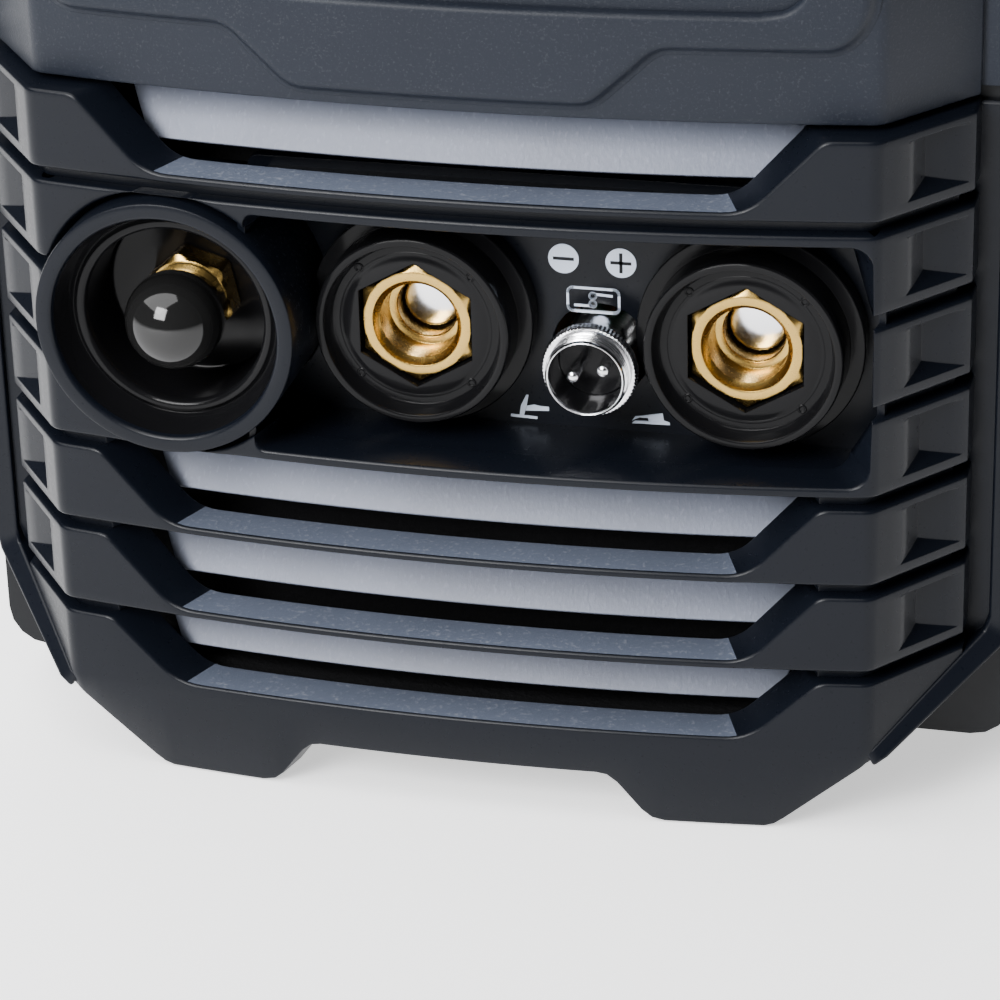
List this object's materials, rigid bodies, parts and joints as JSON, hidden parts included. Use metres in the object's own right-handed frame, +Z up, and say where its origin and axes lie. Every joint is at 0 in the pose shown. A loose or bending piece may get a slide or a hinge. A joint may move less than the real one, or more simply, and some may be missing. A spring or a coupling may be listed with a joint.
{
  "type": "tig welder",
  "caption": "Portable inverter TIG welder with a ribbed, bowed front, recessed twist-lock sockets, gas outlet cup, control head, top handle and rear fan.",
  "frame": {"origin": "on the floor, under the middle of the machine", "axes": "+X to the right seen from the front, +Y from the front panel to the rear, +Z up"},
  "size_m": [0.182, 0.43, 0.312],
  "materials": {
    "charcoal": "satin moulded ABS",
    "charcoal_textured": "fine spark texture",
    "black_gloss": "glossy",
    "black_rubber": "glossy rubber",
    "grey_louvre": "fine texture",
    "powder_coat": "fine powder coat",
    "brass": "turned",
    "steel": "plated",
    "chrome": "polished",
    "aluminium": "extruded",
    "copper": "enamelled copper",
    "ferrite": "matt",
    "board_green": "lacquered",
    "display": "smoked acrylic",
    "hose": "smooth",
    "sleeve": "shrunk sleeve"
  },
  "bodies": {
    "machine": {"front_bezel": "charcoal", "connector_panel": "charcoal", "rear_bezel": "charcoal", "carry_handle": "charcoal", "control_housing": "charcoal_textured", "negative_socket_housing": "black_gloss", "positive_socket_housing": "black_gloss", "negative_socket_nut": "black_gloss", "positive_socket_nut": "black_gloss", "control_socket_insert": "black_gloss", "control_overlay": "black_gloss", "power_switch_body": "black_gloss", "cable_gland": "black_gloss", "cable_gland_nut": "black_gloss", "fan_frame": "black_rubber", "upper_louvre": "grey_louvre", "lower_louvre": "grey_louvre", "front_plate": "powder_coat", "base_tray": "powder_coat", "top_cover": "powder_coat", "negative_socket_contact": "brass", "positive_socket_contact": "brass", "gas_outlet_fitting": "brass", "gas_inlet_fitting": "brass", "gas_valve_body": "brass", "earth_nut": "brass", "negative_socket_screw": "steel", "positive_socket_screw": "steel", "encoder_body": "steel", "fan_grille": "steel", "earth_stud": "steel", "control_socket_shell": "chrome", "control_socket_pin_left": "chrome", "control_socket_pin_right": "chrome", "heatsink_left": "aluminium", "heatsink_right": "aluminium", "transformer_winding": "copper", "output_inductor": "copper", "arc_starter_coil": "copper", "negative_busbar": "copper", "positive_busbar": "copper", "transformer_core": "ferrite", "rectifier_bridge": "ferrite", "control_board": "board_green", "main_board": "board_green", "display_window": "display", "gas_hose": "hose", "capacitor_front": "sleeve", "capacitor_rear": "sleeve"},
    "gas_cap": {"gas_outlet_cap": "black_rubber"},
    "knob_push": {"encoder_plunger": "steel"},
    "knob": {"encoder_shaft": "steel", "control_knob": "black_gloss"},
    "button_1": {"button_left_upper": "charcoal_textured"},
    "button_2": {"button_left_lower": "charcoal_textured"},
    "button_3": {"button_right_upper": "charcoal_textured"},
    "button_4": {"button_right_lower": "charcoal_textured"},
    "power_rocker_body": {"power_rocker": "black_rubber"},
    "fan": {"fan_rotor": "black_rubber"},
    "valve_plunger": {"gas_valve_plunger": "steel"}
  },
  "joints": [
    {"name": "gas_cap_pull", "type": "slide", "parent": "machine", "child": "gas_cap", "axis": [0, -1, 0], "range_m": [0, 0.03]},
    {"name": "knob_push", "type": "slide", "parent": "machine", "child": "knob_push", "axis": [0, 1, 0], "range_m": [0, 0.0006], "stiffness_N_per_m": 4000},
    {"name": "knob_turn", "type": "hinge", "parent": "knob_push", "child": "knob", "pos_m": [0, -0.188, 0.182], "axis": [0, 1, 0], "continuous": true},
    {"name": "button_left_upper_press", "type": "slide", "parent": "machine", "child": "button_1", "axis": [0, 1, 0], "range_m": [0, 0.0008], "stiffness_N_per_m": 2500},
    {"name": "button_left_lower_press", "type": "slide", "parent": "machine", "child": "button_2", "axis": [0, 1, 0], "range_m": [0, 0.0008], "stiffness_N_per_m": 2500},
    {"name": "button_right_upper_press", "type": "slide", "parent": "machine", "child": "button_3", "axis": [0, 1, 0], "range_m": [0, 0.0008], "stiffness_N_per_m": 2500},
    {"name": "button_right_lower_press", "type": "slide", "parent": "machine", "child": "button_4", "axis": [0, 1, 0], "range_m": [0, 0.0008], "stiffness_N_per_m": 2500},
    {"name": "power_rocker_tilt", "type": "hinge", "parent": "machine", "child": "power_rocker_body", "pos_m": [0.048, 0.1868, 0.205], "axis": [1, 0, 0], "range_deg": [0, 25]},
    {"name": "fan_spin", "type": "hinge", "parent": "machine", "child": "fan", "pos_m": [0.018, 0.1448, 0.104], "axis": [0, 1, 0], "continuous": true},
    {"name": "gas_valve_lift", "type": "slide", "parent": "machine", "child": "valve_plunger", "axis": [0, 0, 1], "range_m": [0, 0.0025], "stiffness_N_per_m": 300, "springref_m": -0.004}
  ]
}
